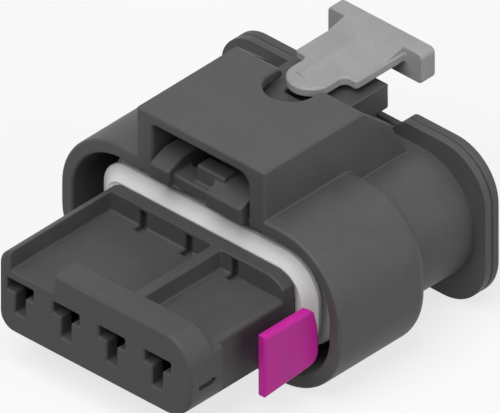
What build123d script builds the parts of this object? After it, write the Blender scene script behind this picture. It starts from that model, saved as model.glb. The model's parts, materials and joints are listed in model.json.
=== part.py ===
"""Four-way sealed cable connector housing with latch lever, position lock and secondary lock.

Millimetres. X runs across the contact row, Y from the mating face to the cable end, Z up.
The origin is the middle of the contact row on the mating face.
Each function returns one real piece, and the last loop writes one file for each.
"""
from build123d import *
import os

# Contact row
WAYS = 4
PITCH = 4.0
SLOT_BAR_W = 2.26
SLOT_BAR_Z = (0.0, 0.9)
SLOT_STEM_W = 0.87
SLOT_STEM_LOW = -1.55
CAVITY_W = 2.5
CAVITY_Z = (-1.75, 1.1)
CAVITY_REAR_R = 1.2
FRONT_WALL = 1.2

# Contact carrier, the nose that enters the mating header. Its left corners are tighter.
NOSE_LEFT_X = -7.85
NOSE_RIGHT_X = 8.95
NOSE_LOW_Z = -3.15
NOSE_TOP_Z = 3.05
NOSE_LEFT_R = 1.3
NOSE_RIGHT_R = 2.3
NOSE_END_Y = 10.45
NOSE_EDGE = 0.2
POCKET_FLOOR_Z = 1.6
POCKET_Y = (2.2, 9.4)
POCKET_LEFT_X = -6.8
POCKET_GAP_X = -3.05
RIB_X = (2.0, 2.86)
WALL_SLOT_W = 0.55
WALL_SLOT_Y = (8.9, 10.0)
WALL_SLOT_Z = (1.1, 2.75)
FLOOR_EDGE_R = 0.4
WALL_SLOT_XS = (-4.0, 0.0, 4.0)
SIDE_RECESS_X = 8.3
SIDE_RECESS_Y = 3.1
DRAIN_Y = (0.9, 2.4)
DRAIN_DEPTH = 0.4
DRAIN_Z = (-0.9, -0.5)

# Interface seal, stretched into the groove behind the nose
SEAL_Y = (10.5, 15.1)
SEAL_X = 0.18
SEAL_BORE_HALF_W = 7.8
SEAL_BORE_HALF_H = 2.2
SEAL_BORE_LEFT_R = 0.4
SEAL_BORE_RIGHT_R = 1.4
SEAL_LIP_RISES = (1.5, 1.8)
SEAL_BASE_RISE = 0.8
SEAL_LIP_CHAMFER = 0.35
SEAL_LIP_LENGTH = 1.25
SEAL_LIP_GAP = 0.55

# Collar and spigot that hold the carrier in the outer housing
COLLAR_RISE = 1.7
COLLAR_LENGTH = 1.2
BARB_RISE = 0.3
BARB_LENGTH = 0.3
BARB_HALF_W = 2.0

# Outer housing
MOUTH_Y = 10.5
SHELL_HALF_W = 12.2
SHELL_HALF_H = 5.9
SHELL_SIDE_FLAT = 0.7
SHELL_WALL = 1.0
SHELL_REAR_Y = 19.0
SHELL_REAR_WALL = 2.7
SHELL_REAR_ROUND = 1.0
NECK_HALF_W = 10.55
NECK_HALF_H = 4.65
NECK_SIDE_FLAT = 0.15
NECK_WALL = 1.05
FLANGE_Y = 24.9
FLANGE_LENGTH = 0.7
FLANGE_HALF_W = 11.55
FLANGE_LEFT_R = 2.75
FLANGE_RIGHT_R = 3.7
HANDLE_GAP_HALF_W = 3.1
HANDLE_GAP_ROUND = 0.5

# Latch tunnel on top of the outer housing. A rise is a height above the shell's top.
DECK_HALF_W = 5.6
DECK_RISE = 3.77
DECK_SLAB = 0.85
DECK_REAR_Y = 20.3
DECK_EDGE = 0.2
WINDOW_HALF_W = 4.2
WINDOW_LEFT_R = 0.35
WINDOW_RIGHT_R = 0.9
WINDOW_DEPTH_Y = 14.6
TUNNEL_STEP_Y = 17.3
TUNNEL_SIDE_WALL = 0.45
GUSSET_START_Y = 19.8
GUSSET_KNEE_Y = 22.4
GUSSET_KNEE_DROP = 2.2
GUSSET_KNEE_R = 1.5
GUSSET_FOOT_Y = 23.9
NOTCH_R = 1.85
NOTCH_CENTRE_Y = 19.05

# Latch lever, carried on two trunnions in the tunnel's side walls. A drop is a depth below the
# shell's top or below another face of the lever.
PIVOT_Y = 16.0
PIVOT_RISE = 1.1
PIVOT_R = 0.9
PIVOT_SEAT = 0.8
LEVER_CLEAR = 0.22
LEVER_FRONT_Y = 10.0
LEVER_EDGE = 0.15
LEVER_PAD_HALF_W = 3.25
LEVER_PAD_Y = (18.6, 24.75)
LEVER_TOP_RISE = 2.5
LEVER_UNDER_RISE = 0.55
PRONG_LEFT_X = -2.3
PRONG_RIGHT_X = 0.9
PRONG_UNDER_DROP = 0.8
PRONG_FACE_RISE = 0.4
PRONG_TOP_RISE = 1.0
PRONG_TOP_Y = 11.4
WEB_Y = 10.5
HOOK_TOP_RISE = 1.3
HOOK_X = (-0.75, 1.7)
HOOK_Y = (10.95, 12.2)
ARM_KNEE_Y = 13.0
ARM_REAR_Y = 16.5
ARM_KNEE_RISE = 0.3
ARM_UNDER_DROP = 0.35
ARM_UNDER_BACK = 0.3
PRONG_GAP_BACK = 1.3
GUIDE_SLOT_START_Y = 19.6
GUIDE_STEM_HALF_W = 1.1
GUIDE_FOOT_HALF_W = 1.7
GUIDE_ROOF = 0.65
GUIDE_FOOT_T = 0.8

# Position lock, the slider with the T handle that rides on the lever
SLIDER_RIDE = 0.4
SLIDER_T = 0.7
SLIDER_EDGE = 0.12
SLIDER_NOSE_HALF_W = 1.62
SLIDER_NOSE_Y = 19.3
SLIDER_STEP_Y = 22.3
SLIDER_HALF_W = 2.7
SLIDER_STEP_ROUND = 0.45
SLIDER_CORNER = 0.3
RIDGE_X = -0.5
RIDGE_Y = 20.4
RIDGE_R = 0.9
RIDGE_RISE = 0.12
HANDLE_HALF_W = 4.15
HANDLE_Y = (26.9, 28.2)
HANDLE_RISE = 0.42
HANDLE_H = 2.37
HANDLE_ROUND = 0.45
HANDLE_EDGE = 0.1
RAMP_Y = 25.2
KEEL_Y = (21.6, 24.2)
KEEL_CLEAR = 0.1

# Secondary lock, the comb that slides in from the side
LOCK_TRAVEL = 1.6
LOCK_PLATE_T = 0.68
LOCK_PLATE_Y = (5.15, 9.75, 10.15, 10.25)
LOCK_PLATE_TOP = 1.95
LOCK_PLATE_BEND = (0.4, -0.8)
LOCK_PLATE_LOW = (-2.8, -2.4)
LOCK_PLATE_ROUND = 0.9
LOCK_PLATE_CORNER = 0.4
LOCK_EDGE = 0.14
LOCK_TOP_ROUND = 0.35
LOCK_GAP = 0.1
LOCK_COMB_Y = (7.15, 8.95)
LOCK_COMB_Z = (-2.4, -0.7)
LOCK_BAR_T = 0.45
LOCK_TOOTH_W = 0.9
LOCK_CLEAR = 0.12

# Wire seal and rear cap in the cable end
BORE_CLEAR = 0.05
CAP_BEAD_Y = (0.35, 0.75)
WIRE_SEAL_GAP = 0.3
WIRE_HOLE_R = 0.95
WIRE_LIP_RISE = 0.35
WIRE_LIPS = 3
CAP_RIM = 0.7
CAP_EDGE = 0.15
CAP_SPIGOT = 1.1
CAP_HOLE_R = 1.4
CAP_BEAD_RISE = 0.25
CAP_BEAD_HALF_W = 4.0

# Sizes that follow from the ones above
WAY_XS = [PITCH * (i - (WAYS - 1) / 2) for i in range(WAYS)]
CAVITY_END_Y = SHELL_REAR_Y - SHELL_REAR_WALL
COLLAR_Y = CAVITY_END_Y - COLLAR_LENGTH
MOUTH_HALF_W = SHELL_HALF_W - SHELL_WALL
MOUTH_HALF_H = SHELL_HALF_H - SHELL_WALL
BORE_HALF_W = NECK_HALF_W - NECK_WALL
BORE_HALF_H = NECK_HALF_H - NECK_WALL
SHELL_R = SHELL_HALF_H - SHELL_SIDE_FLAT
NECK_R = NECK_HALF_H - NECK_SIDE_FLAT
BORE_R = NECK_R - NECK_WALL
FLANGE_END_Y = FLANGE_Y + FLANGE_LENGTH
DECK_TOP_Z = SHELL_HALF_H + DECK_RISE
DECK_UNDER_Z = DECK_TOP_Z - DECK_SLAB
PIVOT_Z = SHELL_HALF_H + PIVOT_RISE
LEVER_TOP_Z = SHELL_HALF_H + LEVER_TOP_RISE
LEVER_UNDER_Z = SHELL_HALF_H + LEVER_UNDER_RISE
PRONG_UNDER_Z = SHELL_HALF_H - PRONG_UNDER_DROP
PRONG_FACE_Z = SHELL_HALF_H + PRONG_FACE_RISE
PRONG_TOP_Z = SHELL_HALF_H + PRONG_TOP_RISE
GUIDE_FOOT_TOP = LEVER_TOP_Z - GUIDE_ROOF
GUIDE_FOOT_LOW = GUIDE_FOOT_TOP - GUIDE_FOOT_T
SLIDER_LOW_Z = LEVER_TOP_Z + SLIDER_RIDE
SLIDER_TOP_Z = SLIDER_LOW_Z + SLIDER_T
TUNNEL_HALF_W = DECK_HALF_W - TUNNEL_SIDE_WALL
SPIGOT_END_Y = SHELL_REAR_Y + BORE_CLEAR + BARB_LENGTH
CAP_SEAT_Y = FLANGE_END_Y - CAP_SPIGOT


def outline_prism(half_w, half_h, radius, y0, y1, x=0.0, z=0.0):
    """A rounded rectangle seen from the mating side, centred on (x, z) and run from y0 to y1."""
    front = Plane(origin=(x, y0, z), x_dir=(1, 0, 0), z_dir=(0, -1, 0))
    return extrude(front * RectangleRounded(2 * half_w, 2 * half_h, radius), amount=-(y1 - y0))


def keyed_prism(x0, x1, z0, z1, left_r, right_r, y0, y1):
    """A rectangle seen from the mating side, whose left and right corners have their own radii."""
    body = block(x0, x1, y0, y1, z0, z1)
    body = fillet(body.edges().filter_by(Axis.Y).sort_by(Axis.X)[:2], left_r)
    return fillet(body.edges().filter_by(Axis.Y).sort_by(Axis.X)[-2:], right_r)


def seal_prism(rise, y0, y1):
    """The outline of the seal's groove, grown by a rise, and run from y0 to y1."""
    half_w, half_h = SEAL_BORE_HALF_W + rise, SEAL_BORE_HALF_H + rise
    return keyed_prism(
        SEAL_X - half_w, SEAL_X + half_w, -half_h, half_h,
        SEAL_BORE_LEFT_R + rise, SEAL_BORE_RIGHT_R + rise, y0, y1)


def flange_prism(y0, y1):
    """The outline that the rear flange and the cap share, less the gap for the handle."""
    body = keyed_prism(
        -FLANGE_HALF_W, FLANGE_HALF_W, -SHELL_HALF_H, SHELL_HALF_H,
        FLANGE_LEFT_R, FLANGE_RIGHT_R, y0, y1)
    body -= handle_gap(y0 - 1, y1 + 1)
    gap_corners = [
        e for e in body.edges().filter_by(Axis.Y)
        if abs(e.center().X) < FLANGE_HALF_W - FLANGE_RIGHT_R - 0.1 and e.center().Z > 0]
    return fillet(gap_corners, HANDLE_GAP_ROUND)


def block(x0, x1, y0, y1, z0, z1):
    """A plain block between two corners."""
    return Pos((x0 + x1) / 2, (y0 + y1) / 2, (z0 + z1) / 2) * Box(x1 - x0, y1 - y0, z1 - z0)


def across(points, x0, x1):
    """A side profile of (y, z) points, run across the connector from x0 to x1."""
    side = Plane(origin=(x0, 0, 0), x_dir=(0, 1, 0), z_dir=(1, 0, 0))
    return extrude(side * make_face(Polyline(*points, close=True)), amount=x1 - x0)


def along_x(radius, y, z, x0, x1):
    """A round pin or hole whose axis runs across the connector."""
    return Pos((x0 + x1) / 2, y, z) * Rot(0, 90, 0) * Cylinder(radius, x1 - x0)


def along_y(radius, x, z, y0, y1):
    """A round hole whose axis runs from the mating face to the cable end."""
    return Pos(x, (y0 + y1) / 2, z) * Rot(90, 0, 0) * Cylinder(radius, y1 - y0)


def tooth_start(x):
    """Where the tooth beside the way at x begins while the secondary lock is parked."""
    return x + CAVITY_W / 2 + LOCK_CLEAR


def handle_gap(y0, y1):
    """The cut in the top of the rear flange that lets the lever and its slider swing down."""
    rise = SHELL_HALF_H - NECK_HALF_H + 1.0
    front = Plane(origin=(0, y0, NECK_HALF_H), x_dir=(1, 0, 0), z_dir=(0, -1, 0))
    corners = [
        (-HANDLE_GAP_HALF_W, 0),
        (HANDLE_GAP_HALF_W, 0),
        (HANDLE_GAP_HALF_W + rise, rise),
        (-HANDLE_GAP_HALF_W - rise, rise),
    ]
    return extrude(front * make_face(Polyline(*corners, close=True)), amount=-(y1 - y0))


def outer_housing():
    """Shell, latch tunnel, neck and rear flange, moulded in one."""
    shell = outline_prism(SHELL_HALF_W, SHELL_HALF_H, SHELL_R, MOUTH_Y, SHELL_REAR_Y)
    shell = fillet(shell.faces().sort_by(Axis.Y)[-1].edges(), SHELL_REAR_ROUND)
    neck = outline_prism(NECK_HALF_W, NECK_HALF_H, NECK_R, SHELL_REAR_Y - SHELL_REAR_WALL, FLANGE_Y)
    flange = flange_prism(FLANGE_Y, FLANGE_END_Y)
    deck_profile = [
        (MOUTH_Y, MOUTH_HALF_H),
        (MOUTH_Y, DECK_TOP_Z),
        (GUSSET_START_Y, DECK_TOP_Z),
        (GUSSET_KNEE_Y, DECK_TOP_Z - GUSSET_KNEE_DROP),
        (GUSSET_FOOT_Y, NECK_HALF_H),
        (GUSSET_FOOT_Y, NECK_HALF_H - NECK_WALL / 2),
        (SHELL_REAR_Y - SHELL_REAR_WALL, NECK_HALF_H - NECK_WALL / 2),
        (SHELL_REAR_Y - SHELL_REAR_WALL, MOUTH_HALF_H),
    ]
    deck = across(deck_profile, -DECK_HALF_W, DECK_HALF_W)
    knee = [e for e in deck.edges().filter_by(Axis.X) if abs(e.center().Y - GUSSET_KNEE_Y) < 0.01]
    deck = fillet(knee, GUSSET_KNEE_R)
    deck = fillet(deck.edges().filter_by(Axis.Y).group_by(Axis.Z)[-1], DECK_EDGE)
    body = shell + neck + flange + deck

    # The mating gap, the seat of the carrier's spigot and the bore of the wire seal
    body -= outline_prism(
        MOUTH_HALF_W, MOUTH_HALF_H, SHELL_R - SHELL_WALL, MOUTH_Y - 1, CAVITY_END_Y)
    body -= seal_prism(BORE_CLEAR, CAVITY_END_Y - 1, SHELL_REAR_Y)
    body -= outline_prism(BORE_HALF_W, BORE_HALF_H, BORE_R, SHELL_REAR_Y, FLANGE_END_Y + 1)
    bead_seat = CAP_BEAD_RISE + BORE_CLEAR
    for side in (-1, 1):
        z_mid = side * BORE_HALF_H
        body -= block(
            -CAP_BEAD_HALF_W - BORE_CLEAR, CAP_BEAD_HALF_W + BORE_CLEAR,
            CAP_SEAT_Y + CAP_BEAD_Y[0] - BORE_CLEAR, CAP_SEAT_Y + CAP_BEAD_Y[1] + BORE_CLEAR,
            z_mid - bead_seat, z_mid + bead_seat)

    # The tunnel: a window open to the mating gap, a step, then the wider open rear
    body -= keyed_prism(
        -WINDOW_HALF_W, WINDOW_HALF_W, 0, DECK_UNDER_Z, WINDOW_LEFT_R, WINDOW_RIGHT_R,
        MOUTH_Y - 1, WINDOW_DEPTH_Y)
    body -= block(
        -WINDOW_HALF_W, WINDOW_HALF_W, WINDOW_DEPTH_Y - 1, TUNNEL_STEP_Y + 1, SHELL_HALF_H, DECK_UNDER_Z)
    body -= block(
        -TUNNEL_HALF_W, TUNNEL_HALF_W, TUNNEL_STEP_Y, SHELL_REAR_Y + 0.5, SHELL_HALF_H, DECK_UNDER_Z)
    body -= block(-TUNNEL_HALF_W, TUNNEL_HALF_W, SHELL_REAR_Y, FLANGE_Y, NECK_HALF_H, DECK_UNDER_Z)
    body -= block(-TUNNEL_HALF_W, TUNNEL_HALF_W, DECK_REAR_Y, FLANGE_Y, NECK_HALF_H, DECK_TOP_Z + 1)
    body -= Pos(0, NOTCH_CENTRE_Y, DECK_TOP_Z) * Cylinder(NOTCH_R, 4 * DECK_SLAB)
    body -= block(-NOTCH_R, NOTCH_R, NOTCH_CENTRE_Y, DECK_REAR_Y + 1, DECK_UNDER_Z, DECK_TOP_Z + 1)

    # Blind seats for the lever's trunnions
    seat = WINDOW_HALF_W + PIVOT_SEAT + BORE_CLEAR
    body -= along_x(PIVOT_R + BORE_CLEAR, PIVOT_Y, PIVOT_Z, -seat, seat)
    return body


def contact_carrier():
    """The nose with the contact cavities, its seal groove, collar and rear spigot."""
    nose = keyed_prism(
        NOSE_LEFT_X, NOSE_RIGHT_X, NOSE_LOW_Z, NOSE_TOP_Z, NOSE_LEFT_R, NOSE_RIGHT_R, 0, NOSE_END_Y)
    nose = chamfer(nose.faces().sort_by(Axis.Y)[0].edges(), NOSE_EDGE)
    groove = seal_prism(0, NOSE_END_Y - 1, SPIGOT_END_Y)
    collar = seal_prism(COLLAR_RISE, COLLAR_Y, CAVITY_END_Y)
    body = nose + groove + collar

    # Snap barbs that hook behind the wall of the outer housing
    barb_y = SHELL_REAR_Y + BORE_CLEAR
    for side in (-1, 1):
        for x in (WAY_XS[0], WAY_XS[-1]):
            z_root = side * (SEAL_BORE_HALF_H - BARB_RISE)
            z_tip = side * (SEAL_BORE_HALF_H + BARB_RISE)
            body += block(
                x - BARB_HALF_W / 2, x + BARB_HALF_W / 2, barb_y, SPIGOT_END_Y,
                min(z_root, z_tip), max(z_root, z_tip))

    # Shallow pockets on top, with a rib between them and an open lane at the front left
    top = NOSE_TOP_Z + 1
    body -= block(POCKET_LEFT_X, RIB_X[0], POCKET_Y[0], POCKET_Y[1], POCKET_FLOOR_Z, top)
    body -= block(POCKET_LEFT_X, POCKET_GAP_X, -1, POCKET_Y[0] + 1, POCKET_FLOOR_Z, top)
    right_end = NOSE_RIGHT_X + 1
    body -= block(RIB_X[1], right_end, POCKET_Y[0], POCKET_Y[1], POCKET_FLOOR_Z, top)
    for x in WALL_SLOT_XS:
        body -= block(
            x - WALL_SLOT_W / 2, x + WALL_SLOT_W / 2, WALL_SLOT_Y[0], WALL_SLOT_Y[1],
            WALL_SLOT_Z[0], WALL_SLOT_Z[1])

    # Side recess for the lock's plate, and the channel for its comb
    body -= block(SIDE_RECESS_X, right_end, SIDE_RECESS_Y, NOSE_END_Y + 0.01, -top, top)
    floor_edge = [
        e for e in body.edges().filter_by(Axis.Y)
        if abs(e.center().X - SIDE_RECESS_X) < 0.01 and abs(e.center().Z - POCKET_FLOOR_Z) < 0.01]
    body = fillet(floor_edge, FLOOR_EDGE_R)
    body -= block(
        tooth_start(WAY_XS[0]) - LOCK_TRAVEL - LOCK_CLEAR, right_end,
        LOCK_COMB_Y[0] - LOCK_CLEAR, LOCK_COMB_Y[1] + LOCK_CLEAR,
        LOCK_COMB_Z[0] - LOCK_CLEAR, LOCK_COMB_Z[1] + LOCK_CLEAR)
    body -= block(
        NOSE_RIGHT_X - DRAIN_DEPTH, right_end, DRAIN_Y[0], DRAIN_Y[1], DRAIN_Z[0], DRAIN_Z[1])

    # T-shaped contact openings, square cavities behind them and round wire entries
    for x in WAY_XS:
        body -= block(
            x - SLOT_BAR_W / 2, x + SLOT_BAR_W / 2, -1, FRONT_WALL + 0.1, SLOT_BAR_Z[0], SLOT_BAR_Z[1])
        body -= block(
            x - SLOT_STEM_W / 2, x + SLOT_STEM_W / 2, -1, FRONT_WALL + 0.1, SLOT_STEM_LOW, SLOT_BAR_Z[1])
        body -= block(
            x - CAVITY_W / 2, x + CAVITY_W / 2, FRONT_WALL, COLLAR_Y, CAVITY_Z[0], CAVITY_Z[1])
        body -= along_y(CAVITY_REAR_R, x, 0, COLLAR_Y - 1, SPIGOT_END_Y + 1)
    return body


def interface_seal():
    """Silicone ring round the carrier, with two lips that press on the mating header."""
    ring = seal_prism(SEAL_BASE_RISE, SEAL_Y[0], SEAL_Y[1])
    for i, rise in enumerate(SEAL_LIP_RISES):
        lip_y = SEAL_Y[0] + i * (SEAL_LIP_LENGTH + SEAL_LIP_GAP)
        lip = seal_prism(rise, lip_y, lip_y + SEAL_LIP_LENGTH)
        ring += chamfer(lip.faces().filter_by(Axis.Y).edges(), SEAL_LIP_CHAMFER)
    return ring - seal_prism(BORE_CLEAR, SEAL_Y[0] - 1, SEAL_Y[1] + 1)


def wire_seal():
    """Silicone block that fills the neck, with one hole for each wire and lips round its edge."""
    y0 = SPIGOT_END_Y + BORE_CLEAR
    y1 = CAP_SEAT_Y - BORE_CLEAR
    half_w = BORE_HALF_W - WIRE_SEAL_GAP
    half_h = BORE_HALF_H - WIRE_SEAL_GAP
    radius = BORE_R - WIRE_SEAL_GAP
    body = outline_prism(half_w - WIRE_LIP_RISE, half_h - WIRE_LIP_RISE, radius - WIRE_LIP_RISE, y0, y1)
    lip_pitch = (y1 - y0) / WIRE_LIPS
    for i in range(WIRE_LIPS):
        mid = y0 + (i + 0.5) * lip_pitch
        rise = WIRE_SEAL_GAP - BORE_CLEAR
        body += outline_prism(
            half_w + rise, half_h + rise, radius + rise, mid - lip_pitch / 4, mid + lip_pitch / 4)
    for x in WAY_XS:
        body -= along_y(WIRE_HOLE_R, x, 0, y0 - 1, y1 + 1)
    return body


def rear_cap():
    """The cap snapped onto the flange, which holds the wire seal and guides the wires."""
    rim = flange_prism(FLANGE_END_Y, FLANGE_END_Y + CAP_RIM)
    rim = chamfer(rim.faces().sort_by(Axis.Y)[-1].edges(), CAP_EDGE)
    spigot = outline_prism(
        BORE_HALF_W - BORE_CLEAR, BORE_HALF_H - BORE_CLEAR, BORE_R, CAP_SEAT_Y, FLANGE_END_Y + CAP_RIM / 2)
    body = rim + spigot
    for side in (-1, 1):
        z_root = side * (BORE_HALF_H - CAP_BEAD_RISE)
        z_tip = side * (BORE_HALF_H + CAP_BEAD_RISE)
        body += block(
            -CAP_BEAD_HALF_W, CAP_BEAD_HALF_W, CAP_SEAT_Y + CAP_BEAD_Y[0], CAP_SEAT_Y + CAP_BEAD_Y[1],
            min(z_root, z_tip), max(z_root, z_tip))
    for x in WAY_XS:
        body -= along_y(CAP_HOLE_R, x, 0, CAP_SEAT_Y - 1, FLANGE_END_Y + CAP_RIM + 1)
    return body


def latch_lever():
    """Rocking lever: two prongs and a hook bar in the window, a press pad at the rear."""
    arm_half_w = WINDOW_HALF_W - LEVER_CLEAR
    arm_top_z = LEVER_TOP_Z - LEVER_EDGE
    arm_profile = [
        (LEVER_FRONT_Y, PRONG_UNDER_Z),
        (LEVER_FRONT_Y, PRONG_FACE_Z),
        (PRONG_TOP_Y, PRONG_TOP_Z),
        (ARM_KNEE_Y, PRONG_TOP_Z),
        (ARM_REAR_Y, arm_top_z),
        (LEVER_PAD_Y[0], arm_top_z),
        (LEVER_PAD_Y[0], LEVER_UNDER_Z),
        (WINDOW_DEPTH_Y - ARM_UNDER_BACK, LEVER_UNDER_Z - ARM_UNDER_DROP),
        (ARM_KNEE_Y, PRONG_UNDER_Z + ARM_KNEE_RISE),
    ]
    arms = across(arm_profile, -arm_half_w, arm_half_w)
    window_end = PIVOT_Y - PRONG_GAP_BACK
    arms -= block(
        PRONG_LEFT_X, PRONG_RIGHT_X, LEVER_FRONT_Y - 1, window_end, PRONG_UNDER_Z - 1, LEVER_TOP_Z + 1)
    web = block(
        PRONG_LEFT_X, PRONG_RIGHT_X, WEB_Y, HOOK_Y[1], PRONG_UNDER_Z, SHELL_HALF_H)
    hook = block(
        HOOK_X[0], HOOK_X[1], HOOK_Y[0], HOOK_Y[1], PRONG_UNDER_Z, SHELL_HALF_H + HOOK_TOP_RISE)
    pad = block(
        -LEVER_PAD_HALF_W, LEVER_PAD_HALF_W, PIVOT_Y + 1, LEVER_PAD_Y[1], LEVER_UNDER_Z, LEVER_TOP_Z)
    pad = fillet(pad.faces().sort_by(Axis.Y)[-1].edges(), LEVER_EDGE)
    reach = WINDOW_HALF_W + PIVOT_SEAT
    pins = along_x(PIVOT_R, PIVOT_Y, PIVOT_Z, -reach, reach)
    body = arms + web + hook + pad + pins

    # T-shaped guide for the slider's keel
    end = LEVER_PAD_Y[1] + 1
    body -= block(
        -GUIDE_STEM_HALF_W, GUIDE_STEM_HALF_W, GUIDE_SLOT_START_Y, end, GUIDE_FOOT_LOW, LEVER_TOP_Z + 1)
    body -= block(
        -GUIDE_FOOT_HALF_W, GUIDE_FOOT_HALF_W, GUIDE_SLOT_START_Y, end, GUIDE_FOOT_LOW, GUIDE_FOOT_TOP)
    return body


def position_lock():
    """Slider with a rounded nose, a T handle and a T-shaped keel in the lever's guide."""
    nose_mid = SLIDER_NOSE_Y + SLIDER_NOSE_HALF_W
    plan = Pos(0, nose_mid) * Circle(SLIDER_NOSE_HALF_W)
    plan += Pos(0, (nose_mid + SLIDER_STEP_Y) / 2) * Rectangle(
        2 * SLIDER_NOSE_HALF_W, SLIDER_STEP_Y - nose_mid)
    plate_end = HANDLE_Y[0] + HANDLE_ROUND
    plan += Pos(0, (SLIDER_STEP_Y + plate_end) / 2) * Rectangle(
        2 * SLIDER_HALF_W, plate_end - SLIDER_STEP_Y)
    plate = extrude(Plane.XY.offset(SLIDER_LOW_Z) * plan, amount=SLIDER_T)
    for half_w, radius in ((SLIDER_NOSE_HALF_W, SLIDER_STEP_ROUND), (SLIDER_HALF_W, SLIDER_CORNER)):
        step_edges = [
            e for e in plate.edges().filter_by(Axis.Z)
            if abs(abs(e.center().X) - half_w) < 0.01 and abs(e.center().Y - SLIDER_STEP_Y) < 0.01]
        plate = fillet(step_edges, radius)
    plate = chamfer(plate.faces().sort_by(Axis.Z)[-1].edges(), SLIDER_EDGE)
    ridge = along_y(RIDGE_R, RIDGE_X, SLIDER_TOP_Z + RIDGE_RISE - RIDGE_R, RIDGE_Y, plate_end)
    ridge &= block(
        RIDGE_X - RIDGE_R, RIDGE_X + RIDGE_R, RIDGE_Y, plate_end, SLIDER_LOW_Z + SLIDER_T / 2, SLIDER_TOP_Z + 1)
    handle_top = SLIDER_TOP_Z + HANDLE_RISE
    handle = block(
        -HANDLE_HALF_W, HANDLE_HALF_W, HANDLE_Y[0], HANDLE_Y[1], handle_top - HANDLE_H, handle_top)
    handle = fillet(handle.edges().filter_by(Axis.Y), HANDLE_ROUND)
    handle = chamfer(handle.faces().filter_by(Axis.Y).edges(), HANDLE_EDGE)
    ramp_end = HANDLE_Y[0] + HANDLE_EDGE
    ramp = across(
        [(RAMP_Y, SLIDER_TOP_Z), (ramp_end, handle_top), (ramp_end, SLIDER_LOW_Z), (RAMP_Y, SLIDER_LOW_Z)],
        SLIDER_EDGE - SLIDER_HALF_W, SLIDER_HALF_W - SLIDER_EDGE)
    body = plate + ridge + ramp + handle
    stem = GUIDE_STEM_HALF_W - KEEL_CLEAR
    foot = GUIDE_FOOT_HALF_W - KEEL_CLEAR
    foot_low = GUIDE_FOOT_LOW + KEEL_CLEAR
    body += block(-stem, stem, KEEL_Y[0], KEEL_Y[1], foot_low, SLIDER_LOW_Z + SLIDER_T / 2)
    body += block(-foot, foot, KEEL_Y[0], KEEL_Y[1], foot_low, GUIDE_FOOT_TOP - KEEL_CLEAR)
    return body


def secondary_lock():
    """Comb that blocks the contacts, with the coloured plate that is pushed from the side."""
    inner = SIDE_RECESS_X + LOCK_GAP + LOCK_TRAVEL
    front_y, shoulder_y, bend_y, rear_y = LOCK_PLATE_Y
    corners = [
        (front_y, LOCK_PLATE_TOP),
        (shoulder_y, LOCK_PLATE_TOP),
        (bend_y, LOCK_PLATE_BEND[0]),
        (rear_y, LOCK_PLATE_BEND[1]),
        (rear_y, LOCK_PLATE_LOW[1]),
        (front_y, LOCK_PLATE_LOW[0]),
    ]
    plate = across(corners, inner, inner + LOCK_PLATE_T)
    thickness = plate.edges().filter_by(Axis.X)
    low_rear = thickness.sort_by(Axis.Z)[:2].sort_by(Axis.Y)[-1]
    top_rear = thickness.sort_by(Axis.Z)[-2:].sort_by(Axis.Y)[-1]
    plate = fillet([low_rear], LOCK_PLATE_ROUND)
    plate = chamfer(
        [e for e in plate.edges().filter_by(Axis.X) if (e.center() - top_rear.center()).length < 0.01],
        LOCK_PLATE_CORNER)
    outer_edges = plate.faces().sort_by(Axis.X)[-1].edges()
    top_edge = outer_edges.filter_by(Axis.Y).sort_by(Axis.Z)[-1]
    plate = chamfer([e for e in outer_edges if e != top_edge], LOCK_EDGE)
    top_edge = plate.faces().sort_by(Axis.X)[-1].edges().filter_by(Axis.Y).sort_by(Axis.Z)[-1]
    plate = fillet(top_edge, LOCK_TOP_ROUND)
    bar = block(
        tooth_start(WAY_XS[0]), inner + LOCK_PLATE_T / 2, LOCK_COMB_Y[0], LOCK_COMB_Y[1],
        LOCK_COMB_Z[0], LOCK_COMB_Z[0] + LOCK_BAR_T)
    body = plate + bar
    for x in WAY_XS:
        body += block(
            tooth_start(x), tooth_start(x) + LOCK_TOOTH_W, LOCK_COMB_Y[0], LOCK_COMB_Y[1],
            LOCK_COMB_Z[0], LOCK_COMB_Z[1])
    return body


PIECES = {
    "outer_housing": outer_housing,
    "contact_carrier": contact_carrier,
    "interface_seal": interface_seal,
    "wire_seal": wire_seal,
    "rear_cap": rear_cap,
    "latch_lever": latch_lever,
    "position_lock": position_lock,
    "secondary_lock": secondary_lock,
}

os.makedirs("parts", exist_ok=True)
for name, make in PIECES.items():
    export_step(make(), f"parts/{name}.step")
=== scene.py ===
import json
from math import cos, radians, tan

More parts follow.
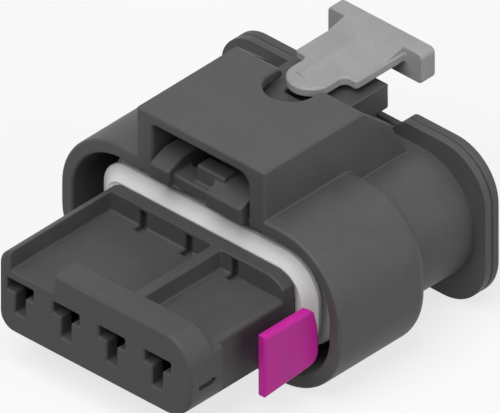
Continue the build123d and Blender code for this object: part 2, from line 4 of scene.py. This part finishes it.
import bmesh
import bpy
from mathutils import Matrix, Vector

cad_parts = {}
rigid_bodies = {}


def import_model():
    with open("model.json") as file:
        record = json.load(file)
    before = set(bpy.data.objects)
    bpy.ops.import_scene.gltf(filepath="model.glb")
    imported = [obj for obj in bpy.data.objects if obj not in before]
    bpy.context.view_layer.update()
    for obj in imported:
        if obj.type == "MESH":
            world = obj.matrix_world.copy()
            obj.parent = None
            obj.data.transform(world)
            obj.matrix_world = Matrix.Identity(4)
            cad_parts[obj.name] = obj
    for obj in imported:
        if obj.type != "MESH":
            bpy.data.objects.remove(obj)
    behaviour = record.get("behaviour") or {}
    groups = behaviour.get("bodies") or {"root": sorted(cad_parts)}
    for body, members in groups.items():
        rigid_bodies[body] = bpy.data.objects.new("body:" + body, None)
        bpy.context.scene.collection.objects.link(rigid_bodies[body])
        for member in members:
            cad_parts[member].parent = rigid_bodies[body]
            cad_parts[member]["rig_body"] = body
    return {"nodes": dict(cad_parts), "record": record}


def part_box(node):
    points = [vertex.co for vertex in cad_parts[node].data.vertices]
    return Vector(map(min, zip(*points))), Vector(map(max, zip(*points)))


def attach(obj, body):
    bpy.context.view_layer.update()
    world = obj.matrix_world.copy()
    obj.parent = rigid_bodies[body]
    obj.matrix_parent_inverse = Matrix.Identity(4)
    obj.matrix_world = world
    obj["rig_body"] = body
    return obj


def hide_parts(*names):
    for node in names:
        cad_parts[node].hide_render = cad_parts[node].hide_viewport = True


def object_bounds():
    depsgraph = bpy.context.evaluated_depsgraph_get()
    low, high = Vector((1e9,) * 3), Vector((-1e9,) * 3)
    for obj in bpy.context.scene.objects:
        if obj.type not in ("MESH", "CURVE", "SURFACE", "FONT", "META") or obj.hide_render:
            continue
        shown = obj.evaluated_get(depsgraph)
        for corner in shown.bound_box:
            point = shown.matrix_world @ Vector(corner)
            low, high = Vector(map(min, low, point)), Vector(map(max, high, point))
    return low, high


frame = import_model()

MM = 0.001
packed_low, packed_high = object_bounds()


# The studio: a pale floor under the connector, two large soft lamps and a camera that looks
# along the photograph's line of sight. The photograph has no perspective, so the camera has none.
scene = bpy.context.scene
scene.view_settings.view_transform = "Standard"

CAMERA_TARGET = Vector((0.0, 15.19, 2.13)) * MM
FRAME_WIDTH = 32.01 * MM
CAMERA_DISTANCE = 300 * MM
CAMERA_REACH = (1 * MM, 3000 * MM)
SIGHT = (0.5616, -0.6031, 0.5664)
LAMP_DISTANCE = 400 * MM

sight = Vector(SIGHT).normalized()
camera_data = bpy.data.cameras.new("photo_camera")
camera_data.type = "ORTHO"
camera_data.ortho_scale = FRAME_WIDTH
camera_data.clip_start, camera_data.clip_end = CAMERA_REACH
camera = bpy.data.objects.new("photo_camera", camera_data)
camera.location = CAMERA_TARGET + sight * CAMERA_DISTANCE
camera.rotation_euler = sight.to_track_quat("Z", "Y").to_euler()
scene.collection.objects.link(camera)
scene.camera = camera


def soft_lamp(name, direction, width, watts):
    """A square area lamp that hangs in a direction from the connector and faces it."""
    data = bpy.data.lights.new(name, "AREA")
    data.shape = "SQUARE"
    data.size = width
    data.energy = watts
    lamp = bpy.data.objects.new(name, data)
    towards = Vector(direction).normalized()
    lamp.location = CAMERA_TARGET + towards * LAMP_DISTANCE
    lamp.rotation_euler = towards.to_track_quat("Z", "Y").to_euler()
    scene.collection.objects.link(lamp)


soft_lamp("top_lamp", (0.12, -0.52, 1.0), 0.34, 1.2)
soft_lamp("side_lamp", (1.0, 0.1, 0.4), 0.28, 0.4)


def new_material(name):
    """An empty node material and its tree, output node included."""
    material = bpy.data.materials.new(name)
    material.use_nodes = True
    tree = material.node_tree
    tree.nodes.clear()
    output = tree.nodes.new("ShaderNodeOutputMaterial")
    return material, tree, output


def plain_background_ray(tree):
    """One for rays that come from the camera, a reflection or through glass, zero for light."""
    path = tree.nodes.new("ShaderNodeLightPath")
    mirror = tree.nodes.new("ShaderNodeMath")
    mirror.operation = "MAXIMUM"
    both = tree.nodes.new("ShaderNodeMath")
    both.operation = "MAXIMUM"
    tree.links.new(path.outputs["Is Glossy Ray"], mirror.inputs[0])
    tree.links.new(path.outputs["Is Transmission Ray"], mirror.inputs[1])
    tree.links.new(path.outputs["Is Camera Ray"], both.inputs[0])
    tree.links.new(mirror.outputs[0], both.inputs[1])
    return both.outputs[0]


world = bpy.data.worlds.new("studio_air")
world.use_nodes = True
world.node_tree.nodes.clear()
world_out = world.node_tree.nodes.new("ShaderNodeOutputWorld")
world_mix = world.node_tree.nodes.new("ShaderNodeMixShader")
world_light = world.node_tree.nodes.new("ShaderNodeBackground")
world_light.inputs["Color"].default_value = (0.93, 0.96, 1.0, 1)
world_light.inputs["Strength"].default_value = 0.12
world_white = world.node_tree.nodes.new("ShaderNodeBackground")
world_white.inputs["Color"].default_value = (1, 1, 1, 1)
world_white.inputs["Strength"].default_value = 1.0
world.node_tree.links.new(plain_background_ray(world.node_tree), world_mix.inputs[0])
world.node_tree.links.new(world_light.outputs[0], world_mix.inputs[1])
world.node_tree.links.new(world_white.outputs[0], world_mix.inputs[2])
world.node_tree.links.new(world_mix.outputs[0], world_out.inputs["Surface"])
scene.world = world

FLOOR_HALF = 1.5
FLOOR_DROP = 0.02 * MM
floor_mesh = bpy.data.meshes.new("studio_floor")
floor_mesh.from_pydata(
    [(x, y, packed_low[2] - FLOOR_DROP) for x, y in
     ((-FLOOR_HALF, -FLOOR_HALF), (FLOOR_HALF, -FLOOR_HALF),
      (FLOOR_HALF, FLOOR_HALF), (-FLOOR_HALF, FLOOR_HALF))],
    [], [(0, 1, 2, 3)])
floor = bpy.data.objects.new("studio_floor", floor_mesh)
scene.collection.objects.link(floor)
floor_material, floor_tree, floor_out = new_material("pale_paper")
floor_paper = floor_tree.nodes.new("ShaderNodeBsdfDiffuse")
floor_paper.inputs["Color"].default_value = (0.3, 0.3, 0.3, 1)
floor_lift = floor_tree.nodes.new("ShaderNodeEmission")
floor_lift.inputs["Color"].default_value = (1, 1, 1, 1)
floor_lift.inputs["Strength"].default_value = 0.74
floor_sum = floor_tree.nodes.new("ShaderNodeAddShader")
floor_mix = floor_tree.nodes.new("ShaderNodeMixShader")
floor_tree.links.new(floor_paper.outputs[0], floor_sum.inputs[0])
floor_tree.links.new(floor_lift.outputs[0], floor_sum.inputs[1])
floor_tree.links.new(plain_background_ray(floor_tree), floor_mix.inputs[0])
floor_tree.links.new(floor_paper.outputs[0], floor_mix.inputs[1])
floor_tree.links.new(floor_sum.outputs[0], floor_mix.inputs[2])
floor_tree.links.new(floor_mix.outputs[0], floor_out.inputs["Surface"])
floor_mesh.materials.append(floor_material)


# Outer housing: one injection moulding in black glass-filled polyester, with the mating collar,
# the latch tunnel, the neck and the cable-end flange. It holds every other piece, and its skin is
# satin with a fine spark texture.
def moulded_plastic(name, colour, roughness=0.52, grain=0.10 * MM, mottle=0.06, gloss=0.3):
    """Satin moulded plastic: spark-eroded grain over a faint mottle left by the melt's flow."""
    material, tree, output = new_material(name)
    add, link = tree.nodes.new, tree.links.new
    place = add("ShaderNodeTexCoord")
    flow = add("ShaderNodeTexNoise")
    flow.inputs["Scale"].default_value = 1 / (2.2 * MM)
    flow.inputs["Detail"].default_value = 5
    flow.inputs["Distortion"].default_value = 0.4
    link(place.outputs["Object"], flow.inputs["Vector"])
    speck = add("ShaderNodeTexNoise")
    speck.inputs["Scale"].default_value = 1 / grain
    speck.inputs["Detail"].default_value = 2
    speck.inputs["Roughness"].default_value = 0.65
    link(place.outputs["Object"], speck.inputs["Vector"])
    tone = add("ShaderNodeValToRGB")
    tone.color_ramp.elements[0].position = 0.32
    tone.color_ramp.elements[1].position = 0.68
    tone.color_ramp.elements[0].color = (*[c * (1 - mottle) for c in colour], 1)
    tone.color_ramp.elements[1].color = (*[c * (1 + mottle) for c in colour], 1)
    link(flow.outputs["Fac"], tone.inputs["Fac"])
    fleck = add("ShaderNodeMapRange")
    fleck.inputs["From Min"].default_value = 0.3
    fleck.inputs["From Max"].default_value = 0.7
    fleck.inputs["To Min"].default_value = 0.88
    fleck.inputs["To Max"].default_value = 1.12
    link(speck.outputs["Fac"], fleck.inputs["Value"])
    grained = add("ShaderNodeVectorMath")
    grained.operation = "SCALE"
    link(tone.outputs["Color"], grained.inputs[0])
    link(fleck.outputs["Result"], grained.inputs["Scale"])
    satin = add("ShaderNodeMapRange")
    satin.inputs["To Min"].default_value = roughness - 0.08
    satin.inputs["To Max"].default_value = roughness + 0.08
    link(flow.outputs["Fac"], satin.inputs["Value"])
    bump = add("ShaderNodeBump")
    bump.inputs["Strength"].default_value = 0.4
    bump.inputs["Distance"].default_value = 0.012 * MM
    link(speck.outputs["Fac"], bump.inputs["Height"])
    skin = add("ShaderNodeBsdfPrincipled")
    skin.inputs["IOR"].default_value = 1.5
    skin.inputs["Specular IOR Level"].default_value = gloss
    link(grained.outputs["Vector"], skin.inputs["Base Color"])
    link(satin.outputs["Result"], skin.inputs["Roughness"])
    link(bump.outputs["Normal"], skin.inputs["Normal"])
    link(skin.outputs[0], output.inputs["Surface"])
    return material


nodes = frame["nodes"]
ROOM_SHARE = 0.45
SLIVER = 0.02 * MM
LEAST_ROUNDING = 0.01 * MM
FLAT = radians(0.4)
STEADY = cos(radians(35))
SOFT_LIMIT = cos(radians(40))
ROUNDING_SHARE = 0.001
TINY = 1e-15
WELD = 0.0005 * MM
ROUNDING_SEGMENTS = 3
FEET = (0.1, 0.5, 0.9)
LEAST_LEAN = 0.3
INWARD_LEAN = 0.01


def number_flats(work, flat):
    """Gives the faces of each flat region one number, and returns the regions' normals."""
    normals = []
    for face in work.faces:
        face[flat] = -1
    for first in work.faces:
        if first[flat] >= 0:
            continue
        grow, first[flat] = [first], len(normals)
        widest = first
        while grow:
            face = grow.pop()
            widest = max(widest, face, key=lambda f: f.calc_area())
            for edge in face.edges:
                if edge.is_manifold and edge.calc_face_angle() < FLAT:
                    for near in edge.link_faces:
                        if near[flat] < 0:
                            near[flat] = len(normals)
                            grow.append(near)
        normals.append(widest.normal.copy())
    return normals


def rounding_room(edge, corners, rims, flat):
    """How wide a corner can be rounded before it meets another edge of its flat regions."""
    room = 1.0
    for loop in edge.link_loops:
        start, end = loop.vert.co, loop.link_loop_next.vert.co
        along = (end - start).normalized()
        length = (end - start).length
        inward = loop.face.normal.cross(along)
        feet = [start.lerp(end, share) for share in FEET]
        for other in rims[loop.face[flat]]:
            if other == edge:
                continue
            share = ROOM_SHARE if other in corners else 2 * ROOM_SHARE
            first, last = other.verts
            joint = next((v for v in (first, last) if v in edge.verts), None)
            if joint:
                beside = (other.other_vert(joint).co - joint.co)
                back = along if joint.co == start else -along
                lean = beside.normalized().dot(inward)
                if other not in corners:
                    room = min(room, ROOM_SHARE * beside.length * max(abs(lean), LEAST_LEAN))
                elif lean > INWARD_LEAN:
                    angle = back.angle(beside)
                    room = min(room, ROOM_SHARE * min(length, beside.length) * tan(angle / 2))
                continue
            for foot in feet:
                one, two = first.co - foot, last.co - foot
                side_one, side_two = one.dot(along), two.dot(along)
                if side_one * side_two <= 0 and side_one != side_two:
                    level = one.dot(inward)
                    height = level + (two.dot(inward) - level) * side_one / (side_one - side_two)
                    if height > 0:
                        room = min(room, share * height)
    return room


def smooth_runs(corners):
    """The corners in runs that bend gently at most, because a run has one rounding."""
    left = set(corners)
    while left:
        run = [left.pop()]
        for edge in run:
            for joint in edge.verts:
                ahead = (joint.co - edge.other_vert(joint).co).normalized()
                for near in joint.link_edges:
                    onward = (near.other_vert(joint).co - joint.co).normalized()
                    if near in left and ahead.dot(onward) > STEADY:
                        left.remove(near)
                        run.append(near)
        yield run


def refill_flats(work, flat, normals):
    """Fills each flat region anew from its rim, because rounding moves the rim inwards."""
    regions = {}
    for face in work.faces:
        if face.material_index == 0:
            regions.setdefault(face[flat], []).append(face)
    for number, faces in regions.items():
        if len(faces) == 1 and len(faces[0].verts) <= 4:
            continue
        inside = set(faces)
        edges = {e for f in faces for e in f.edges}
        rim = [e for e in edges if any(f not in inside for f in e.link_faces)]
        bridges = [e for e in edges if all(f in inside for f in e.link_faces)]
        before = [list(f.verts) for f in faces]
        bmesh.ops.delete(work, geom=faces, context="FACES_ONLY")
        bmesh.ops.delete(work, geom=bridges, context="EDGES")
        filled = bmesh.ops.triangle_fill(
            work, use_beauty=True, use_dissolve=False, edges=rim, normal=normals[number])
        fresh = [g for g in filled["geom"] if isinstance(g, bmesh.types.BMFace)]
        if not all(e.is_manifold for e in rim):
            inner = [e for f in fresh for e in f.edges if e not in rim]
            bmesh.ops.delete(work, geom=fresh, context="FACES_ONLY")
            bmesh.ops.delete(work, geom=list(set(inner)), context="EDGES")
            fresh = [work.faces.new(verts) for verts in before]
        for face in fresh:
            face[flat] = number
            face.normal_update()
            if face.normal.dot(normals[number]) < 0:
                face.normal_flip()


def corner_normals(work, flat, normals):
    """Shading normals for each face corner: flat regions stay flat, and roundings blend in."""
    shading = []
    for face in work.faces:
        own = normals[face[flat]] if face.material_index == 0 else face.normal
        for loop in face.loops:
            blend = own * TINY
            for near in loop.vert.link_faces:
                is_flat = near.material_index == 0
                normal = normals[near[flat]] if is_flat else near.normal
                if normal.dot(own) > SOFT_LIMIT:
                    blend += normal * near.calc_area() * (1 if is_flat else ROUNDING_SHARE)
            shading.append(blend.normalized())
    return shading


def moulding(node, material, corner, crease=32):
    """The finished skin of a CAD node, with its corners rounded as a mould leaves them."""
    mesh = nodes[node].data.copy()
    work = bmesh.new()
    work.from_mesh(mesh)
    bmesh.ops.remove_doubles(work, verts=work.verts[:], dist=WELD)
    bmesh.ops.dissolve_limit(work, angle_limit=FLAT, verts=work.verts[:], edges=work.edges[:])
    bmesh.ops.dissolve_degenerate(work, edges=work.edges[:], dist=SLIVER)
    weight = work.edges.layers.float.new("bevel_weight_edge")
    flat = work.faces.layers.int.new("flat")
    normals = number_flats(work, flat)
    corners = {e for e in work.edges if e.is_manifold and e.calc_face_angle() > radians(crease)}
    rims = [[] for _ in normals]
    for edge in work.edges:
        sides = {f[flat] for f in edge.link_faces}
        if len(sides) > 1:
            for side in sides:
                rims[side].append(edge)
    for run in smooth_runs(corners):
        width = min(corner, min(rounding_room(e, corners, rims, flat) for e in run))
        for edge in run:
            edge[weight] = width / corner if width > LEAST_ROUNDING else 0
    work.to_mesh(mesh)
    work.free()
    mesh.materials.clear()
    mesh.materials.append(material)
    mesh.materials.append(material)
    piece = bpy.data.objects.new(node + "_skin", mesh)
    scene.collection.objects.link(piece)
    soft = piece.modifiers.new("rounded_corners", "BEVEL")
    soft.limit_method = "WEIGHT"
    soft.width = corner
    soft.segments = ROUNDING_SEGMENTS
    soft.material = 1
    soft.use_clamp_overlap = False
    bpy.context.view_layer.update()
    settled = piece.evaluated_get(bpy.context.evaluated_depsgraph_get())
    skin = bpy.data.meshes.new_from_object(settled)
    skin.name = node + "_skin"
    piece.modifiers.clear()
    piece.data = skin
    bpy.data.meshes.remove(mesh)
    work = bmesh.new()
    work.from_mesh(skin)
    flat = work.faces.layers.int["flat"]
    refill_flats(work, flat, normals)
    work.normal_update()
    shading = corner_normals(work, flat, normals)
    for face in work.faces:
        face.material_index = 0
    work.to_mesh(skin)
    work.free()
    skin.materials.pop(index=1)
    skin.shade_smooth()
    skin.normals_split_custom_set(shading)
    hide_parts(node)
    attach(piece, nodes[node]["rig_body"])
    return piece


housing_plastic = moulded_plastic("housing_black_plastic", (0.104, 0.104, 0.106))
moulding("outer_housing", housing_plastic, 0.22 * MM)


# Contact carrier: the black inner moulding whose nose carries the contacts. It is snapped into
# the outer housing from the front, and its pockets and rib code the header that fits.
carrier_plastic = moulded_plastic("carrier_black_plastic", (0.088, 0.088, 0.09), 0.55)
moulding("contact_carrier", carrier_plastic, 0.18 * MM)


# Interface seal: a ring of white silicone stretched into the groove behind the nose. Its two
# soft lips press on the inside of the header, and the front one slopes towards it.
def silicone(name, colour):
    """Soft silicone: light scatters a little under the skin, with a faint oily sheen."""
    material, tree, output = new_material(name)
    add, link = tree.nodes.new, tree.links.new
    place = add("ShaderNodeTexCoord")
    cloud = add("ShaderNodeTexNoise")
    cloud.inputs["Scale"].default_value = 1 / (1.4 * MM)
    cloud.inputs["Detail"].default_value = 4
    link(place.outputs["Object"], cloud.inputs["Vector"])
    tone = add("ShaderNodeValToRGB")
    tone.color_ramp.elements[0].position = 0.35
    tone.color_ramp.elements[1].position = 0.65
    tone.color_ramp.elements[0].color = (*[c * 0.97 for c in colour], 1)
    tone.color_ramp.elements[1].color = (*colour, 1)
    link(cloud.outputs["Fac"], tone.inputs["Fac"])
    sheen = add("ShaderNodeMapRange")
    sheen.inputs["To Min"].default_value = 0.36
    sheen.inputs["To Max"].default_value = 0.54
    link(cloud.outputs["Fac"], sheen.inputs["Value"])
    dimple = add("ShaderNodeBump")
    dimple.inputs["Strength"].default_value = 0.3
    dimple.inputs["Distance"].default_value = 0.03 * MM
    link(cloud.outputs["Fac"], dimple.inputs["Height"])
    skin = add("ShaderNodeBsdfPrincipled")
    skin.inputs["Subsurface Weight"].default_value = 0.02
    skin.inputs["Subsurface Radius"].default_value = (1.0, 0.95, 0.9)
    skin.inputs["Subsurface Scale"].default_value = 0.2 * MM
    link(tone.outputs["Color"], skin.inputs["Base Color"])
    link(sheen.outputs["Result"], skin.inputs["Roughness"])
    link(dimple.outputs["Normal"], skin.inputs["Normal"])
    link(skin.outputs[0], output.inputs["Surface"])
    return material


def new_tree(name, sizes):
    """An empty Geometry Nodes tree with a named input for each size, and its in and out nodes."""
    tree = bpy.data.node_groups.new(name, "GeometryNodeTree")
    tree.interface.new_socket("Geometry", in_out="INPUT", socket_type="NodeSocketGeometry")
    for label, kind in sizes.items():
        tree.interface.new_socket(label, in_out="INPUT", socket_type=kind)
    tree.interface.new_socket("Geometry", in_out="OUTPUT", socket_type="NodeSocketGeometry")
    return tree, tree.nodes.new("NodeGroupInput"), tree.nodes.new("NodeGroupOutput")


def grown(name, tree, values):
    """The plain mesh that a tree makes from these values, as a new object."""
    seed = bpy.data.objects.new(name + "_seed", bpy.data.meshes.new(name + "_seed"))
    scene.collection.objects.link(seed)
    grow = seed.modifiers.new("grow", "NODES")
    grow.node_group = tree
    for socket in tree.interface.items_tree:
        if socket.in_out == "INPUT" and socket.name in values:
            grow[socket.identifier] = values[socket.name]
    seed.update_tag()
    bpy.context.view_layer.update()
    settled = seed.evaluated_get(bpy.context.evaluated_depsgraph_get())
    mesh = bpy.data.meshes.new_from_object(settled)
    mesh.name = name
    bpy.data.objects.remove(seed)
    piece = bpy.data.objects.new(name, mesh)
    scene.collection.objects.link(piece)
    mesh.shade_smooth()
    return piece


OUTLINE_STEPS = 14
EDGE_STEPS = 7


def seal_ring_tree():
    """A tapered band with rounded edges that follows a rectangle whose corners differ."""
    number = "NodeSocketFloat"
    tree, given, result = new_tree("seal_ring", {
        "Left": number, "Right": number, "Half Height": number, "Left Corner": number,
        "Right Corner": number, "Length": number, "Tip Length": number, "Tip Shift": number,
        "Thickness": number, "Edge": number, "Start": number, "Rubber": "NodeSocketMaterial"})
    add, link = tree.nodes.new, tree.links.new

    def calc(operation, a, b):
        node = add("ShaderNodeMath")
        node.operation = operation
        for socket, value in zip(node.inputs, (a, b)):
            if isinstance(value, (int, float)):
                socket.default_value = value
            else:
                link(value, socket)
        return node.outputs[0]

    def rounded_outline(mode, sizes, radius, steps):
        box = add("GeometryNodeCurvePrimitiveQuadrilateral")
        box.mode = mode
        for label, value in sizes.items():
            link(value, box.inputs[label])
        soft = add("GeometryNodeFilletCurve")
        soft.mode = "POLY"
        soft.inputs["Count"].default_value = steps
        link(box.outputs["Curve"], soft.inputs["Curve"])
        link(radius, soft.inputs["Radius"])
        return soft.outputs["Curve"]

    where = add("GeometryNodeInputPosition")
    split = add("ShaderNodeSeparateXYZ")
    link(where.outputs[0], split.inputs[0])
    is_right = calc("GREATER_THAN", split.outputs["X"], 0.0)
    widening = calc("SUBTRACT", given.outputs["Right Corner"], given.outputs["Left Corner"])
    corner = calc("ADD", given.outputs["Left Corner"], calc("MULTIPLY", is_right, widening))
    path = rounded_outline("RECTANGLE", {
        "Width": calc("SUBTRACT", given.outputs["Right"], given.outputs["Left"]),
        "Height": calc("MULTIPLY", given.outputs["Half Height"], 2.0)}, corner, OUTLINE_STEPS)
    upright = add("GeometryNodeSetCurveNormal")
    upright.mode = "Z_UP"
    link(path, upright.inputs["Curve"])
    section = rounded_outline("TRAPEZOID", {
        "Height": given.outputs["Thickness"], "Bottom Width": given.outputs["Length"],
        "Top Width": given.outputs["Tip Length"], "Offset": given.outputs["Tip Shift"]},
        given.outputs["Edge"], EDGE_STEPS)
    turned = add("GeometryNodeTransform")
    turned.inputs["Rotation"].default_value = (0, 0, radians(-90))
    link(section, turned.inputs["Geometry"])
    band = add("GeometryNodeCurveToMesh")
    link(upright.outputs["Curve"], band.inputs["Curve"])
    link(turned.outputs["Geometry"], band.inputs["Profile Curve"])
    stood = add("GeometryNodeTransform")
    stood.inputs["Rotation"].default_value = (radians(90), 0, 0)
    middle = add("ShaderNodeCombineXYZ")
    across = calc("ADD", given.outputs["Left"], given.outputs["Right"])
    link(calc("MULTIPLY", across, 0.5), middle.inputs["X"])
    half_length = calc("MULTIPLY", given.outputs["Length"], 0.5)
    link(calc("ADD", given.outputs["Start"], half_length), middle.inputs["Y"])
    link(middle.outputs[0], stood.inputs["Translation"])
    link(band.outputs["Mesh"], stood.inputs["Geometry"])
    real = add("GeometryNodeRealizeInstances")
    link(stood.outputs["Geometry"], real.inputs["Geometry"])
    coat = add("GeometryNodeSetMaterial")
    link(real.outputs["Geometry"], coat.inputs["Geometry"])
    link(given.outputs["Rubber"], coat.inputs["Material"])
    link(coat.outputs["Geometry"], result.inputs["Geometry"])
    return tree


seal_silicone = silicone("white_silicone", (0.99, 0.99, 0.985))
seal_low, seal_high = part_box("interface_seal")
SEAL_RISE = 1.8 * MM
BORE_CORNERS = (0.4 * MM, 1.4 * MM)
SLEEVE = (0.05 * MM, 0.7 * MM)
SLEEVE_START = 0.2 * MM
SLEEVE_EDGE = 0.1 * MM
LIP_ROOT = 0.5 * MM
LIP_LENGTH = 1.25 * MM
LIP_TIP = 0.4 * MM
LIP_EDGE = 0.15 * MM
LIPS = (
    ("front_seal_lip", 0.0, 1.6 * MM, (LIP_TIP - LIP_LENGTH) / 2),
    ("rear_seal_lip", 1.8 * MM, SEAL_RISE, 0.0))
ring_tree = seal_ring_tree()


def seal_ring(name, root, rise, start, length, tip, shift, edge):
    """One band of the seal, from a depth below its outline to a height above the groove."""
    middle = SEAL_RISE - (root + rise) / 2
    ring = grown(name, ring_tree, {
        "Left": seal_low[0] + middle, "Right": seal_high[0] - middle,
        "Half Height": seal_high[2] - middle,
        "Left Corner": BORE_CORNERS[0] + SEAL_RISE - middle,
        "Right Corner": BORE_CORNERS[1] + SEAL_RISE - middle,
        "Length": length, "Tip Length": tip, "Tip Shift": shift, "Thickness": rise - root,
        "Edge": edge, "Start": seal_low[1] + start, "Rubber": seal_silicone})
    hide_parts("interface_seal")
    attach(ring, "housing")
    return ring


sleeve_length = seal_high[1] - seal_low[1] - SLEEVE_START
seal_ring("seal_sleeve", *SLEEVE, SLEEVE_START, sleeve_length, sleeve_length, 0.0, SLEEVE_EDGE)
for name, start, rise, shift in LIPS:
    seal_ring(name, LIP_ROOT, rise, start, LIP_LENGTH, LIP_TIP, shift, LIP_EDGE)


# Wire seal: the block of white silicone inside the neck, squeezed round each wire. Its rear face
# shows through the wire entries of the cap, with a raised lip round each hole.
LIP_STEPS = 40
BEAD_STEPS = 12


def wire_lips_tree():
    """A row of small round lips across the connector, one round each wire hole."""
    number, whole = "NodeSocketFloat", "NodeSocketInt"
    tree, given, result = new_tree("wire_lips", {
        "Hole Radius": number, "Bead Radius": number, "First": number, "Pitch": number,
        "Depth": number, "Ways": whole, "Rubber": "NodeSocketMaterial"})
    add, link = tree.nodes.new, tree.links.new
    circle = add("GeometryNodeCurvePrimitiveCircle")
    circle.inputs["Resolution"].default_value = LIP_STEPS
    link(given.outputs["Hole Radius"], circle.inputs["Radius"])
    section = add("GeometryNodeCurvePrimitiveCircle")
    section.inputs["Resolution"].default_value = BEAD_STEPS
    link(given.outputs["Bead Radius"], section.inputs["Radius"])
    bead = add("GeometryNodeCurveToMesh")
    link(circle.outputs["Curve"], bead.inputs["Curve"])
    link(section.outputs["Curve"], bead.inputs["Profile Curve"])
    stood = add("GeometryNodeTransform")
    stood.inputs["Rotation"].default_value = (radians(90), 0, 0)
    link(bead.outputs["Mesh"], stood.inputs["Geometry"])
    start = add("ShaderNodeCombineXYZ")
    link(given.outputs["First"], start.inputs["X"])
    link(given.outputs["Depth"], start.inputs["Y"])
    step = add("ShaderNodeCombineXYZ")
    link(given.outputs["Pitch"], step.inputs["X"])
    places = add("GeometryNodeMeshLine")
    link(given.outputs["Ways"], places.inputs["Count"])
    link(start.outputs[0], places.inputs["Start Location"])
    link(step.outputs[0], places.inputs["Offset"])
    repeat = add("GeometryNodeInstanceOnPoints")
    link(places.outputs["Mesh"], repeat.inputs["Points"])
    link(stood.outputs["Geometry"], repeat.inputs["Instance"])
    real = add("GeometryNodeRealizeInstances")
    link(repeat.outputs["Instances"], real.inputs["Geometry"])
    coat = add("GeometryNodeSetMaterial")
    link(real.outputs["Geometry"], coat.inputs["Geometry"])
    link(given.outputs["Rubber"], coat.inputs["Material"])
    link(coat.outputs["Geometry"], result.inputs["Geometry"])
    return tree


wire_silicone = silicone("wire_seal_silicone", (0.8, 0.8, 0.78))
moulding("wire_seal", wire_silicone, 0.08 * MM)
entries = sorted(m["pos_m"][0] for m in frame["record"]["mounts"] if m["kind"] == "bore")
WIRE_HOLE_RADIUS = 0.95 * MM
WIRE_BEAD = 0.14 * MM
wire_lips = grown("wire_lips", wire_lips_tree(), {
    "Hole Radius": WIRE_HOLE_RADIUS + WIRE_BEAD, "Bead Radius": WIRE_BEAD, "First": entries[0],
    "Pitch": entries[1] - entries[0], "Depth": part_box("wire_seal")[1][1], "Ways": len(entries),
    "Rubber": wire_silicone})
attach(wire_lips, "housing")


# Rear cap: a black moulding snapped onto the cable-end flange. It keeps the wire seal in the neck
# and guides the wires.
cap_plastic = moulded_plastic("cap_black_plastic", (0.1, 0.1, 0.102), 0.55)
moulding("rear_cap", cap_plastic, 0.18 * MM)


# Latch lever: a black rocking lever in the tunnel. Its prongs and hook bar hold the header, and
# the pad at its rear end lifts them.
lever_plastic = moulded_plastic("lever_black_plastic", (0.088, 0.088, 0.09), 0.5)
moulding("latch_lever", lever_plastic, 0.18 * MM)


# Position lock: a grey moulded slider on the lever's pad. Pushed forward, its nose blocks the
# lever, and the T handle at its rear is what the finger pulls.
slider_plastic = moulded_plastic("slider_grey_plastic", (0.43, 0.43, 0.432), 0.5, gloss=0.35)
moulding("position_lock", slider_plastic, 0.16 * MM)


# Secondary lock: a violet moulded comb pushed in from the side once the contacts are in. Its
# plate then lies in the recess of the nose.
lock_plastic = moulded_plastic("lock_violet_plastic", (0.68, 0.018, 0.39), 0.45, gloss=0.35)
moulding("secondary_lock", lock_plastic, 0.14 * MM)


bpy.context.view_layer.update()
